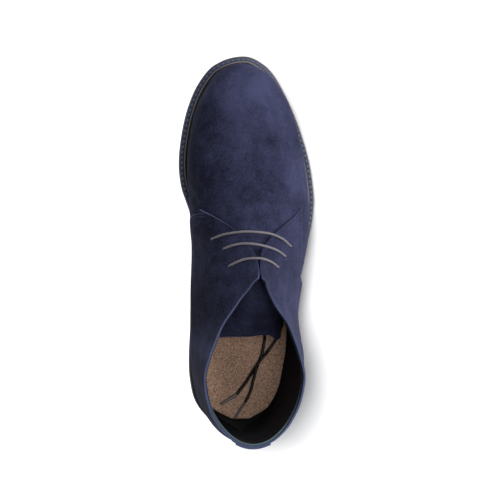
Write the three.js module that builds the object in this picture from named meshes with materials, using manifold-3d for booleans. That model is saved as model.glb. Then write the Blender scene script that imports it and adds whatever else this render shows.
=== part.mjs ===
// Chukka boot, right foot, in millimetres.
// Frame: +X runs from heel to toe, +Y to the inner (medial) side, +Z up.
// The origin is on the ground under the middle of the heel.
import * as THREE from 'three';
import { mergeVertices } from 'three/addons/utils/BufferGeometryUtils.js';
import Module from 'manifold-3d';

const wasm = await Module();
wasm.setup();

// ---------------------------------------------------------------- driving sizes
const gap = 0.3;               // between pieces that meet
const vampWall = 1.6;          // suede and lining at the vamp
const quarterProud = 1.4;      // how far the quarters stand out over the vamp
const tabProud = 1.5;          // heel tab over the quarters
const tabWidth = 25;
const weltThickness = 3.2;
const soleStack = 11.3;        // outsole and welt together
const footbedRise = 3;         // top of the footbed over the feather line
const tongueThickness = 1.6;
const laceDiameter = 2;
const laceHole = 3.4;
const heelBreast = 50;         // x of the heel's front face
const cutterReach = 90;        // half width of every sideways cutter
const ringsPerRow = 2;         // mesh rings between two rows of the section table
const pointsAround = 28;       // mesh points round each section

// ---------------------------------------------------------------- sections of the last
// Each row is one slanted section through the foot, from the toe round the instep
// to the collar. It runs from a ridge point (topX, topZ) to a sole or heel point
// (endX, endZ). ridgeY and endY are its middle there; inner and outer are its
// farthest y on the two sides, at the share "wide" of the way down. topRound and
// endRound are how square each end is: 2 is an ellipse, 4 nearly flat.
const sectionColumns = ['topX', 'topZ', 'endX', 'endZ', 'ridgeY', 'endY', 'inner', 'outer',
  'wide', 'topRound', 'endRound'];
const sections = [
  [258.6, 23.0, 258.6, 21.0, -4.5, -4.5, -3.5, -5.5, 0.55, 2.0, 2.0],
  [256.6, 31.0, 256.0, 13.5, -4.5, -4.5, 7.1, -16.1, 0.60, 2.0, 2.6],
  [249.8, 38.5, 248.5, 10.5, -4.0, -4.0, 17.0, -25.0, 0.62, 2.1, 3.0],
  [238.0, 44.3, 236.0, 8.3, -3.5, -3.5, 25.4, -32.4, 0.64, 2.2, 3.4],
  [221.0, 49.0, 219.0, 7.0, -4.5, -4.5, 33.1, -41.2, 0.66, 2.2, 3.8],
  [200.0, 54.0, 198.0, 6.2, -6.0, -6.0, 37.6, -49.2, 0.70, 2.15, 4.0],
  [181.0, 58.7, 178.0, 5.6, -8.0, -7.5, 39.4, -54.7, 0.71, 2.1, 4.0],
  [164.0, 63.5, 158.0, 5.2, -10.0, -9.0, 38.8, -58.2, 0.72, 2.0, 4.0],
  [150.0, 68.5, 138.0, 5.6, -11.5, -10.0, 36.5, -59.2, 0.72, 1.95, 4.0],
  [139.0, 75.0, 115.0, 8.0, -12.0, -9.0, 33.8, -58.4, 0.71, 1.85, 4.0],
  [130.0, 81.5, 90.0, 12.0, -12.0, -7.0, 33.8, -54.2, 0.69, 1.8, 3.8],
  [122.5, 87.5, 62.0, 15.0, -12.0, -4.5, 34.6, -49.0, 0.67, 1.75, 3.6],
  [116.0, 93.0, 32.0, 17.0, -12.0, -3.0, 35.0, -44.5, 0.64, 1.7, 3.3],
  [110.5, 98.0, 2.0, 17.0, -12.0, -3.0, 35.2, -41.8, 0.62, 1.62, 3.0],
  [106.0, 102.5, -24.0, 19.0, -12.0, -4.0, 34.4, -41.4, 0.60, 1.55, 2.4],
  [102.5, 106.5, -36.0, 33.0, -12.0, -4.8, 33.0, -42.6, 0.58, 1.45, 2.05],
  [99.5, 110.5, -37.2, 52.0, -12.0, -5.6, 31.0, -44.0, 0.57, 1.35, 1.95],
  [97.5, 114.5, -35.0, 72.0, -12.0, -6.8, 28.8, -45.2, 0.57, 1.28, 1.95],
  [96.5, 118.5, -32.2, 92.0, -12.0, -7.8, 26.9, -45.4, 0.57, 1.24, 2.0],
  [96.0, 123.0, -30.6, 112.0, -12.0, -8.2, 25.6, -45.0, 0.57, 1.22, 2.0],
];

// Side view lines, as x and z.
const featherLine = [[-60, 28.5], [-36, 28], [-10, 27], [15, 26], [45, 24], [75, 20.5], [105, 16],
  [135, 12], [165, 10.5], [195, 11.5], [235, 15], [259, 20], [285, 26]];
const collarLine = [[-60, 105], [-34, 104.5], [-10, 101.5], [12, 98.8], [35, 97.5], [58, 98.5],
  [78, 101.5], [92, 107.5], [99, 112.5], [112, 121]];
const sideSeam = [[78, 8], [81, 15], [86, 22.5], [95, 31], [107, 38.5], [120, 44.5], [133, 48.5],
  [144.8, 51]];

// Plan outlines, as x and y.
const soleEdge = [[263.5, -4.5], [262, 4], [258.8, 12.1], [252.7, 20.6], [238.5, 30.4], [219.8, 37.7],
  [198.6, 42.2], [179, 44], [161, 42.6], [142, 38.6], [120, 36.2], [95, 35.6], [70, 36.8], [45, 38.2],
  [22, 38.4], [5, 37], [-12, 32.5], [-26, 22.5], [-35.5, 9.5], [-39, -4.5], [-35.7, -18.5],
  [-26, -30.5], [-12, -37.5], [5, -40.3], [25, -42], [50, -44.5], [75, -49], [98, -55], [115, -59.7],
  [130, -63.2], [144.4, -64.6], [155.5, -64.5], [178.8, -61], [201.3, -54.5], [222.8, -46.1],
  [242.4, -35.7], [252.6, -28.3], [258.7, -20.9], [262.9, -12.4]];
const facingInner = [[144.6, 27.8], [139.5, 17.4], [133, 6.6], [124.5, -3], [116.5, -8.6],
  [109.5, -11], [103, -11.6], [99, -9.6], [90.5, -5.9], [82, 0]];
const facingOuter = [[145.4, -49.3], [139.6, -42.1], [133, -32.5], [125, -21.8], [117, -15],
  [109.5, -12.8], [103, -12.5], [98, -13.2], [91.5, -16], [84, -20]];
// The vamp's back edge between the two facing corners, from the outer side.
const vampEdge = [[142, -41], [138.5, -29], [136.5, -12], [138, 6], [141.5, 19]];

// Lace holes, from the front row up: x and y on the inner and the outer facing.
const laceRows = [
  { inner: [123.2, 21.2], outer: [118.3, -38.7] },
  { inner: [117.1, 13.8], outer: [111.5, -33.5] },
  { inner: [107.2, 8.5], outer: [104.3, -27.3] },
];

// ---------------------------------------------------------------- small tools
// A smooth run through table rows: t is the row number, with a fraction.
function alongRows(rows, t) {
  const i = Math.min(Math.floor(t), rows.length - 2);
  const f = t - i;
  const before = rows[Math.max(i - 1, 0)];
  const after = rows[Math.min(i + 2, rows.length - 1)];
  return rows[i].map((a, k) => {
    const b = rows[i + 1][k];
    const m0 = (b - before[k]) / 2;
    const m1 = (after[k] - a) / 2;
    const s = f * f;
    const c = s * f;
    return a * (2 * c - 3 * s + 1) + m0 * (c - 2 * s + f) + b * (3 * s - 2 * c) + m1 * (c - s);
  });
}

// The height of a side view line at x.
function heightAt(line, x) {
  let i = 0;
  while (i < line.length - 2 && line[i + 1][0] < x) i += 1;
  const [x0] = line[i];
  const [x1] = line[i + 1];
  let low = i;
  let high = i + 1;
  for (let pass = 0; pass < 24; pass += 1) {
    const middle = (low + high) / 2;
    if (alongRows(line, middle)[0] < x) low = middle;
    else high = middle;
  }
  return x <= x0 || x >= x1 ? line[x <= x0 ? i : i + 1][1] : alongRows(line, low)[1];
}

function solid(geometry) {
  const bare = new THREE.BufferGeometry();
  bare.setAttribute('position', geometry.getAttribute('position').clone());
  if (geometry.index) bare.setIndex(geometry.index.clone());
  const merged = mergeVertices(bare, 1e-4);
  const points = merged.getAttribute('position').array;
  const faces = [...merged.index.array];
  let volume = 0;
  const kept = [];
  for (let i = 0; i < faces.length; i += 3) {
    const [a, b, c] = faces.slice(i, i + 3);
    if (a === b || b === c || a === c) continue;
    kept.push(a, b, c);
    const [p, q, r] = [a, b, c].map((k) => new THREE.Vector3(...points.slice(3 * k, 3 * k + 3)));
    volume += p.dot(q.cross(r));
  }
  if (volume < 0) kept.reverse();
  return new wasm.Manifold(new wasm.Mesh({
    numProp: 3,
    vertProperties: new Float32Array(points),
    triVerts: new Uint32Array(kept),
  }));
}

function geometryOf(body) {
  const mesh = body.getMesh();
  const geometry = new THREE.BufferGeometry();
  geometry.setAttribute('position', new THREE.BufferAttribute(mesh.vertProperties, 3));
  geometry.setIndex(new THREE.BufferAttribute(mesh.triVerts, 1));
  return geometry;
}

function shapeOf(outline) {
  return new THREE.Shape(outline.map(([x, y]) => new THREE.Vector2(x, y)));
}

// A closed outline pushed up from z0 to z1.
function planBlock(outline, z0, z1) {
  const options = { depth: z1 - z0, bevelEnabled: false };
  return solid(new THREE.ExtrudeGeometry(shapeOf(outline), options).translate(0, 0, z0));
}

// A closed side view outline pushed right across the boot.
function sideBlock(outline, yLow = -cutterReach, yHigh = cutterReach) {
  const options = { depth: yHigh - yLow, bevelEnabled: false };
  const across = new THREE.ExtrudeGeometry(shapeOf(outline), options).rotateX(Math.PI / 2);
  return solid(across.translate(0, yHigh, 0));
}

// All that lies between two heights over a side view line.
function slab(line, from, to, xLow = -60, xHigh = 285, step = 9) {
  const count = Math.round((xHigh - xLow) / step);
  const stations = Array.from({ length: count + 1 }, (_, i) => xLow + (xHigh - xLow) * (i / count));
  const low = stations.map((x) => [x, typeof from === 'number' ? heightAt(line, x) + from : from(x)]);
  const high = stations.map((x) => [x, typeof to === 'number' ? heightAt(line, x) + to : to(x)]);
  return sideBlock([...low, ...high.reverse()]);
}

function smoothClosed(points, perPoint) {
  const loop = points.length;
  const at = (k) => points[(k + loop) % loop];
  const out = [];
  for (let i = 0; i < loop; i += 1) {
    const rows = [at(i - 1), at(i), at(i + 1), at(i + 2)];
    for (let s = 0; s < perPoint; s += 1) out.push(alongRows(rows, 1 + s / perPoint));
  }
  return out;
}

// ---------------------------------------------------------------- the last's form
function sectionRing(t) {
  const row = Object.fromEntries(sectionColumns.map((name, k) => [name, alongRows(sections, t)[k]]));
  const middleAt = (v) => row.ridgeY + (row.endY - row.ridgeY) * v;
  const innerWidth = row.inner - middleAt(row.wide);
  const outerWidth = middleAt(row.wide) - row.outer;
  const ring = [];
  for (let j = 0; j < pointsAround; j += 1) {
    const turn = (j / pointsAround) * 2 * Math.PI;
    const upper = Math.cos(turn) >= 0;
    const power = 2 / (upper ? row.topRound : row.endRound);
    const reach = Math.abs(Math.cos(turn)) ** power;
    const spread = Math.abs(Math.sin(turn)) ** power;
    const v = upper ? row.wide * (1 - reach) : row.wide + (1 - row.wide) * reach;
    const width = Math.sin(turn) >= 0 ? innerWidth : -outerWidth;
    ring.push(new THREE.Vector3(row.topX + (row.endX - row.topX) * v, middleAt(v) + width * spread,
      row.topZ + (row.endZ - row.topZ) * v));
  }
  return ring;
}

const formRings = Array.from({ length: (sections.length - 1) * ringsPerRow + 1 },
  (_, i) => sectionRing(i / ringsPerRow));

const formGeometry = (() => {
  const points = formRings.flat();
  const middle = (ring) => ring.reduce((sum, p) => sum.add(p), new THREE.Vector3())
    .divideScalar(ring.length);
  const toe = points.push(middle(formRings[0])) - 1;
  const top = points.push(middle(formRings.at(-1))) - 1;
  const faces = [];
  for (let i = 0; i < formRings.length - 1; i += 1) {
    for (let j = 0; j < pointsAround; j += 1) {
      const k = (j + 1) % pointsAround;
      const [a, b] = [i * pointsAround + j, i * pointsAround + k];
      const [c, d] = [a + pointsAround, b + pointsAround];
      faces.push(a, b, c, b, d, c);
    }
  }
  const last = (formRings.length - 1) * pointsAround;
  for (let j = 0; j < pointsAround; j += 1) {
    const k = (j + 1) % pointsAround;
    faces.push(toe, k, j, top, last + j, last + k);
  }
  const geometry = new THREE.BufferGeometry().setFromPoints(points);
  geometry.setIndex(faces);
  geometry.computeVertexNormals();
  return geometry;
})();

// The form grown by a distance, or shrunk where it is negative. A function gives
// the distance at each row of the section table.
function grownGeometry(growth) {
  const grown = formGeometry.clone();
  const place = grown.getAttribute('position');
  const normal = grown.getAttribute('normal');
  for (let i = 0; i < place.count; i += 1) {
    const row = Math.floor(i / pointsAround) / ringsPerRow;
    const d = typeof growth === 'number' ? growth : growth(row);
    place.setXYZ(i, place.getX(i) + d * normal.getX(i), place.getY(i) + d * normal.getY(i),
      place.getZ(i) + d * normal.getZ(i));
  }
  return grown;
}

function form(growth) {
  return solid(grownGeometry(growth));
}

// The height of the grown form's top over a plan point.
function topOver(geometry, x, y) {
  const place = geometry.getAttribute('position');
  const { array } = geometry.index;
  let best = -Infinity;
  for (let i = 0; i < array.length; i += 3) {
    const [a, b, c] = [0, 1, 2].map((k) => new THREE.Vector3().fromBufferAttribute(place, array[i + k]));
    const area = (b.x - a.x) * (c.y - a.y) - (b.y - a.y) * (c.x - a.x);
    if (Math.abs(area) < 1e-9) continue;
    const u = ((x - a.x) * (c.y - a.y) - (y - a.y) * (c.x - a.x)) / area;
    const v = ((b.x - a.x) * (y - a.y) - (b.y - a.y) * (x - a.x)) / area;
    if (u >= 0 && v >= 0 && u + v <= 1) best = Math.max(best, a.z + u * (b.z - a.z) + v * (c.z - a.z));
  }
  return best;
}


// ---------------------------------------------------------------- cutters
const soleOutline = smoothClosed(soleEdge, 2);
const throatSides = [...facingInner, ...[...facingOuter].reverse()];
const throat = [...throatSides, ...vampEdge];
const belowFeather = slab(featherLine, () => -40, -weltThickness);
const aboveCollar = slab(collarLine, 0, () => 180, -60, 112, 6);

function quarterRegion(shift) {
  const seam = sideSeam.map(([x, z]) => [x + shift, z]);
  return sideBlock([[-80, 0], ...seam, [145.5 + shift, 60], [145.5 + shift, 150], [-80, 150]]);
}

const skin = form(0);
const quarterSkin = form(quarterProud).intersect(quarterRegion(0)).subtract(planBlock(throatSides, 45, 150));
const clearOfUpper = form(gap).add(form(quarterProud + gap).intersect(quarterRegion(gap)));

// ---------------------------------------------------------------- sole
function outsole() {
  const bottom = (x) => Math.max(0, heightAt(featherLine, x) - soleStack);
  return planBlock(soleOutline, -5, 60).intersect(slab(featherLine, bottom, -weltThickness - gap));
}

function heel() {
  const seat = (x) => heightAt(featherLine, x) - soleStack - gap;
  const block = slab(featherLine, () => 0, seat, -60, heelBreast, 10);
  return planBlock(soleOutline, -5, 60).intersect(block);
}

function welt() {
  return planBlock(soleOutline, -5, 60).intersect(slab(featherLine, -weltThickness, 0))
    .subtract(clearOfUpper);
}

function footbed() {
  return form(-vampWall - gap).intersect(slab(featherLine, -weltThickness, footbedRise));
}

// ---------------------------------------------------------------- upper
const quarterGeometry = grownGeometry(quarterProud);

// A point on the quarters' outside over (x, y), and the way out from it.
function onQuarter(x, y) {
  const step = 1.5;
  const z = topOver(quarterGeometry, x, y);
  const slopeX = (topOver(quarterGeometry, x + step, y) - topOver(quarterGeometry, x - step, y)) / (2 * step);
  const slopeY = (topOver(quarterGeometry, x, y + step) - topOver(quarterGeometry, x, y - step)) / (2 * step);
  return { point: new THREE.Vector3(x, y, z), out: new THREE.Vector3(-slopeX, -slopeY, 1).normalize() };
}

function laceHoles() {
  return laceRows.flatMap((row) => [row.inner, row.outer]).map(([x, y]) => {
    const { point, out } = onQuarter(x, y);
    const punch = new THREE.CylinderGeometry(laceHole / 2, laceHole / 2, 12, 12);
    punch.applyQuaternion(new THREE.Quaternion().setFromUnitVectors(new THREE.Vector3(0, 1, 0), out));
    return solid(punch.translate(point.x, point.y, point.z));
  }).reduce((all, one) => all.add(one));
}

function upper() {
  return skin.add(quarterSkin)
    .subtract(form(-vampWall))
    .subtract(planBlock(throat, 45, 150))
    .subtract(belowFeather)
    .subtract(aboveCollar)
    .subtract(laceHoles());
}

// The strip up the back of the heel, outside the quarters.
function backStrip() {
  const half = tabWidth / 2;
  const outline = [[-4 - half, 10], [-4 + half, 10], [-6 + half * 0.8, 60], [-7.6 + half, 110],
    [-7.6 - half, 110], [-6 - half * 0.8, 60]];
  const options = { depth: 60, bevelEnabled: false };
  const block = solid(new THREE.ExtrudeGeometry(shapeOf(outline), options)
    .rotateX(Math.PI / 2).rotateZ(Math.PI / 2).translate(-70, 0, 0));
  return form(quarterProud + tabProud).intersect(block).subtract(form(quarterProud + gap))
    .subtract(slab(featherLine, () => -40, gap)).subtract(aboveCollar);
}

// ---------------------------------------------------------------- tongue
// The tongue runs on under the facings, then its free end droops into the boot.
// Columns: x and z of its middle line, how far its edges hang below it, the y of
// its middle, and its half width.
const tongueFlap = [[110, 89.5, 8, -9, 10.5], [104, 95, 10, -9, 11], [98, 98.2, 13, -9.5, 12.5],
  [92, 98, 14, -10, 15], [85, 94.5, 12, -10.5, 18], [76, 87.5, 10, -11, 20], [66, 78, 7, -11.5, 22],
  [56, 68, 4, -12, 23.5], [47, 59.5, 2.5, -12, 24]];
const tongueOutline = [[149, 20], [143, 25.5], [134, 18], [126, 12.5], [113, 8], [109, 2], [109, -20],
  [113, -30], [120, -37], [132, -40], [141, -45], [149, -40]];

function tongue() {
  const top = (row) => THREE.MathUtils.lerp(-2.2, -4.4, THREE.MathUtils.clamp((row - 8.6) / 1.6, 0, 1));
  const sheet = form(top).subtract(form((row) => top(row) - tongueThickness));
  const root = sheet.intersect(planBlock(tongueOutline, 55, 130));
  const across = 10;
  const points = [];
  for (let i = 0; i < tongueFlap.length; i += 1) {
    const before = tongueFlap[Math.max(i - 1, 0)];
    const after = tongueFlap[Math.min(i + 1, tongueFlap.length - 1)];
    const run = new THREE.Vector2(after[0] - before[0], after[1] - before[1]).normalize();
    const [x, z, drop, middle, half] = tongueFlap[i];
    for (const side of [0, -tongueThickness]) {
      for (let j = 0; j <= across; j += 1) {
        const share = (j / across) * 2 - 1;
        const sink = side - drop * share * share;
        points.push(new THREE.Vector3(x + run.y * sink, middle + half * share, z - run.x * sink));
      }
    }
  }
  const wide = across + 1;
  const faces = [];
  const quad = (p, q, r, w) => faces.push(p, q, r, p, r, w);
  for (let i = 0; i < tongueFlap.length - 1; i += 1) {
    const here = i * 2 * wide;
    const next = here + 2 * wide;
    for (let j = 0; j < across; j += 1) {
      quad(here + j, here + j + 1, next + j + 1, next + j);
      quad(here + wide + j + 1, here + wide + j, next + wide + j, next + wide + j + 1);
    }
    quad(here + wide, here, next, next + wide);
    quad(here + across, here + wide + across, next + wide + across, next + across);
  }
  const last = (tongueFlap.length - 1) * 2 * wide;
  for (let j = 0; j < across; j += 1) {
    quad(j + 1, j, wide + j, wide + j + 1);
    quad(last + j, last + j + 1, last + wide + j + 1, last + wide + j);
  }
  const flap = new THREE.BufferGeometry().setFromPoints(points);
  flap.setIndex(faces);
  return root.add(solid(flap));
}

// ---------------------------------------------------------------- laces
function cordAlong(points, sides, steps, radius = laceDiameter / 2) {
  const path = new THREE.CatmullRomCurve3(points.map((p) => new THREE.Vector3(...p)));
  const section = new THREE.Shape(Array.from({ length: sides }, (_, k) => new THREE.Vector2(
    radius * Math.cos((2 * Math.PI * k) / sides), radius * Math.sin((2 * Math.PI * k) / sides))));
  return solid(new THREE.ExtrudeGeometry(section, { steps, bevelEnabled: false, extrudePath: path }));
}

// Plan points of each bar between its two holes. The bar rides over the facings.
const laceBars = [
  [[128.6, 13.5], [130, 4], [130.2, -6], [129.4, -16], [127.4, -25], [123.4, -32.5]],
  [[119.9, 8.6], [121.8, 0], [121.6, -9], [120, -18], [117.2, -25.5], [113.9, -30.6]],
  [[110.6, 4.6], [112.2, -2.5], [112.3, -10], [110.8, -17.5], [107.8, -23.4]],
];

function laceBar(i) {
  const over = ([x, y], lift) => {
    const { point, out } = onQuarter(x, y);
    return point.addScaledVector(out, lift).toArray();
  };
  const { inner, outer } = laceRows[i];
  const bar = laceBars[i];
  const near = (hole, p) => over([hole[0] + (p[0] - hole[0]) / 3, hole[1] + (p[1] - hole[1]) / 3], 1.8);
  return cordAlong([over(inner, -0.3), over(inner, 1), near(inner, bar[0]), ...bar.map((p) => over(p, 1.65)),
    near(outer, bar.at(-1)), over(outer, 1), over(outer, -0.3)], 7, 20);
}

// The two loose ends run from the top holes down beside the tongue and lie on the
// footbed. The outer one passes over the inner one.
const laceEnds = {
  inner: [[106.8, 7.7, 85.3], [106.2, 6.5, 84.1], [105.5, 5.4, 82.6], [104.8, 5.2, 80.2],
    [103.3, 6, 76], [99.5, 7, 70], [92.5, 5.5, 64], [84, 1.5, 58], [74, -5, 52], [64, -12, 46],
    [54, -18, 39.5], [46, -21.8, 33.4], [40, -23.3, 29.8], [33, -22.3, 29.5], [26, -20.9, 29.8],
    [16.7, -17.3, 30.2], [6.9, -14.3, 30.6], [-1.9, -12.2, 30.95], [-8, -9.7, 31.2], [-13.3, -6.9, 31.45]],
  outer: [[104.1, -26.4, 88.2], [103.8, -25.2, 87.3], [103.4, -24, 86.1], [102.7, -23.5, 84.3],
    [101.9, -24.2, 82], [100.4, -26.8, 78.5], [97, -30, 72.5], [90, -33.5, 64], [80, -36, 55], [68, -37, 46.8],
    [56, -36.5, 40], [46, -35.2, 33.2], [39, -32.8, 29.7], [34, -29.8, 29.4], [29.2, -26.3, 30],
    [26, -23.5, 31.4], [22.5, -20.4, 32.3], [18.5, -17.3, 32.5], [14.5, -14.7, 32.2],
    [9.5, -11.6, 31.4], [4, -8.1, 31], [-1.5, -4, 31.1], [-6.3, -0.4, 31.3]],
};
const agletTips = { inner: [-26.1, 2, 32.2], outer: [-13.6, 12.6, 32] };
const agletDiameter = 2.4;

function laceEnd(side) {
  return cordAlong(laceEnds[side], 8, 36);
}

function aglet(side) {
  const start = new THREE.Vector3(...laceEnds[side].at(-1));
  const tip = new THREE.Vector3(...agletTips[side]);
  const run = tip.clone().sub(start).normalize();
  const from = start.clone().addScaledVector(run, 2 * gap).setZ(start.z + 0.2);
  const length = from.distanceTo(tip);
  const rod = new THREE.CylinderGeometry(agletDiameter / 2, agletDiameter / 2, length, 10);
  const way = tip.clone().sub(from).normalize();
  const turn = new THREE.Quaternion().setFromUnitVectors(new THREE.Vector3(0, 1, 0), way);
  const middle = from.clone().add(tip).multiplyScalar(0.5);
  return solid(rod.applyQuaternion(turn).translate(middle.x, middle.y, middle.z));
}

// ---------------------------------------------------------------- the boot
const navySuede = { color: '#343a63', roughness: 0.95 };
const darkSole = { color: '#1b1d24', roughness: 0.7 };
const blueWelt = { color: '#1f2a44', roughness: 0.6 };
const cork = { color: '#6d5443', roughness: 0.9 };
const greyLace = { color: '#8f8b97', roughness: 0.8 };
const darkLace = { color: '#1d1c22', roughness: 0.8 };
const tipPlastic = { color: '#3c3b40', roughness: 0.4 };

const boot = new THREE.Group();

function place(name, body, finish) {
  const mesh = new THREE.Mesh(geometryOf(body), new THREE.MeshStandardMaterial({ ...finish, metalness: 0 }));
  mesh.name = name;
  boot.add(mesh);
}

place('outsole', outsole(), darkSole);
place('heel', heel(), darkSole);
place('welt', welt(), blueWelt);
place('footbed', footbed(), cork);
place('upper', upper(), navySuede);
place('back_strip', backStrip(), navySuede);
place('tongue', tongue(), navySuede);
laceBars.forEach((bar, i) => place(`lace_bar_${i + 1}`, laceBar(i), greyLace));
for (const side of ['inner', 'outer']) {
  place(`lace_end_${side}`, laceEnd(side), darkLace);
  place(`aglet_${side}`, aglet(side), tipPlastic);
}

export default boot;
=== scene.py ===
import bmesh
import bpy
import math
from functools import lru_cache
from mathutils import Matrix, Vector, noise
from mathutils.kdtree import KDTree


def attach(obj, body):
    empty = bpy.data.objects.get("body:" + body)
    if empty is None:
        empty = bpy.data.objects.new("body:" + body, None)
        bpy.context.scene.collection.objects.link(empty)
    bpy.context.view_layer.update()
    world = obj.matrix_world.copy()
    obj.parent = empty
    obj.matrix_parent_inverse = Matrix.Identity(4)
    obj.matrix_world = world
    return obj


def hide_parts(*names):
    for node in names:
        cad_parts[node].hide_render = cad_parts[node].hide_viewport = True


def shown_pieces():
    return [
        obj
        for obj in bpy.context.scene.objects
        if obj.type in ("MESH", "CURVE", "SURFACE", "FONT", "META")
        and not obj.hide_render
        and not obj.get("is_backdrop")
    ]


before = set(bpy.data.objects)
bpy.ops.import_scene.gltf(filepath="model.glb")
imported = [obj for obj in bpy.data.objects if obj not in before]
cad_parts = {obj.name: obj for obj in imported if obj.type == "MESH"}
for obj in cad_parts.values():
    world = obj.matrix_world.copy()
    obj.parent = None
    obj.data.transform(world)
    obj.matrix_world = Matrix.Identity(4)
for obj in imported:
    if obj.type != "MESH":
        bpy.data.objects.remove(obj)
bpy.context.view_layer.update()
mm = 0.001
pi = math.pi
weldGap = 0.00003


# Camera, floor and lights; lamps are place, target, size, power and tint
stage = {
    "eye": (0.210, 0.0645, 0.930),
    "aim": (0.1125, -0.010, 0.045),
    "lens": 82.0,
    "sensor": 36.0,
    "floorSize": 6.0,
    "sky": (0.95, 0.97, 1, 1),
    "skyPower": 0.25,
    "groundLamp": ((0.40, 0.36, 1.55), (0.08, 0, 0), (0.60, 0.60), 40, (1, 1, 1)),
    "bootLamps": {
        "outerKey": ((0.30, -0.95, 0.95), (0.12, -0.02, 0.06), (0.55, 0.40), 16, (1, 0.98, 0.98)),
        "topSoft": ((0.22, -0.15, 1.40), (0.11, 0, 0.03), (0.60, 0.60), 8.5, (1, 1, 1)),
        "toeFill": ((1.00, -0.25, 0.80), (0.2, 0, 0.03), (0.5, 0.4), 6, (0.95, 0.96, 1)),
    },
}


def makeCamera():
    camera = bpy.data.objects.new("camera", bpy.data.cameras.new("camera"))
    camera.data.lens = stage["lens"]
    camera.data.sensor_width = stage["sensor"]
    eye, aim = Vector(stage["eye"]), Vector(stage["aim"])
    back = (eye - aim).normalized()
    right = Vector((1, 0, 0)).cross(back).normalized()  # the toe points up in the frame
    up = back.cross(right)
    camera.location = eye
    camera.rotation_euler = Matrix((right, up, back)).transposed().to_euler()
    bpy.context.scene.collection.objects.link(camera)
    bpy.context.scene.camera = camera
    print("camera set")


def areaLight(name, place, target, size, power, tint, only):  # only: the collection that it lights
    light = bpy.data.lights.new(name, "AREA")
    light.shape = "RECTANGLE"
    light.size, light.size_y = size
    light.energy = power
    light.color = tint
    lamp = bpy.data.objects.new(name, light)
    lamp.location = place
    lamp.rotation_euler = (Vector(place) - Vector(target)).to_track_quat("Z", "Y").to_euler()
    bpy.context.scene.collection.objects.link(lamp)
    lamp.light_linking.receiver_collection = only


def makeStage():
    bm = bmesh.new()
    bmesh.ops.create_grid(bm, x_segments=1, y_segments=1, size=stage["floorSize"] / 2)
    floor = objectFrom(bm, "floor", [plainMaterial("paleFloor", (0.90, 0.90, 0.91), 0.95)])
    floor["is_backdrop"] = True
    ground = bpy.data.collections.new("groundOnly")
    ground.objects.link(floor)
    areaLight("groundLamp", *stage["groundLamp"], ground)
    world = bpy.data.worlds.new("studio")
    world.use_nodes = True
    world.node_tree.nodes["Background"].inputs[0].default_value = stage["sky"]
    world.node_tree.nodes["Background"].inputs[1].default_value = stage["skyPower"]
    bpy.context.scene.world = world
    bpy.context.scene.view_settings.view_transform = "Standard"
    print("floor and sky made")


def makeLamps():  # the lamps that light the boot alone, from its outer side and over the toe
    boot = bpy.data.collections.new("bootOnly")
    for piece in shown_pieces():
        boot.objects.link(piece)
    for name, lamp in stage["bootLamps"].items():
        areaLight(name, *lamp, boot)
    print("lamps made")


# Small mesh tools
def objectFrom(bm, name, materials):
    mesh = bpy.data.meshes.new(name)
    bm.to_mesh(mesh)
    bm.free()
    for material in materials:
        mesh.materials.append(material)
    mesh.polygons.foreach_set("use_smooth", [True] * len(mesh.polygons))
    piece = bpy.data.objects.new(name, mesh)
    bpy.context.scene.collection.objects.link(piece)
    return piece


def sheetFrom(placeAt, across, along, outward=None, uvSize=(1, 1)):
    # a grid whose corners run 0..1 both ways, each point moved to placeAt(u, v)
    bm = bmesh.new()
    bmesh.ops.create_grid(bm, x_segments=across, y_segments=along, size=0.5)
    uvLayer = bm.loops.layers.uv.new("UVMap")
    for face in bm.faces:
        for loop in face.loops:
            u, v = loop.vert.co.x + 0.5, loop.vert.co.y + 0.5
            loop[uvLayer].uv = (u * uvSize[0], v * uvSize[1])
    for vert in bm.verts:
        vert.co = placeAt(vert.co.x + 0.5, vert.co.y + 0.5)
    bmesh.ops.remove_doubles(bm, verts=bm.verts, dist=weldGap)
    if outward is not None:
        bm.normal_update()
        score = sum(f.normal.dot(f.calc_center_median() - outward) * f.calc_area() for f in bm.faces)
        if score < 0:
            bmesh.ops.reverse_faces(bm, faces=bm.faces)
    return bm


def alongRows(rows, t):  # a smooth run through table rows: t is the row number, with a fraction
    t = min(max(t, 0), len(rows) - 1)
    i = min(int(t), len(rows) - 2)
    f = t - i
    before, after = rows[max(i - 1, 0)], rows[min(i + 2, len(rows) - 1)]
    s, c = f * f, f * f * f
    out = []
    for k, a in enumerate(rows[i]):
        b = rows[i + 1][k]
        m0, m1 = (b - before[k]) / 2, (after[k] - a) / 2
        out.append(a * (2 * c - 3 * s + 1) + m0 * (c - 2 * s + f) + b * (3 * s - 2 * c) + m1 * (c - s))
    return out


def lineTable(line, step=0.5):  # a side view or plan line as heights at even steps of its first column
    fine = [alongRows(line, i / 40) for i in range((len(line) - 1) * 40 + 1)]
    start, end = fine[0][0], fine[-1][0]
    table, k = [], 0
    for i in range(int(abs(end - start) / step) + 1):
        x = start + math.copysign(step, end - start) * i
        while k < len(fine) - 2 and (fine[k + 1][0] - x) * (end - start) < 0:
            k += 1
        (x0, z0), (x1, z1) = fine[k][:2], fine[k + 1][:2]
        table.append(z0 + (z1 - z0) * (x - x0) / ((x1 - x0) or 1))
    return start, math.copysign(step, end - start), table


def straightTable(line, step):
    # the same for a line whose points lie close together: straight runs, then softened
    values, k = [], 0
    for i in range(int((line[-1][0] - line[0][0]) / step) + 1):
        x = line[0][0] + step * i
        while k < len(line) - 2 and line[k + 1][0] < x:
            k += 1
        (x0, z0), (x1, z1) = line[k], line[k + 1]
        values.append(z0 + (z1 - z0) * (x - x0) / (x1 - x0))
    for _ in range(6):
        soft = [(a + 2 * b + c) / 4 for a, b, c in zip(values, values[1:], values[2:])]
        values = [values[0]] + soft + [values[-1]]
    return line[0][0], step, values


def readLine(table, x):
    start, step, values = table
    f = min(max((x - start) / step, 0), len(values) - 1.001)
    i = int(f)
    return values[i] + (values[i + 1] - values[i]) * (f - i)


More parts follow.
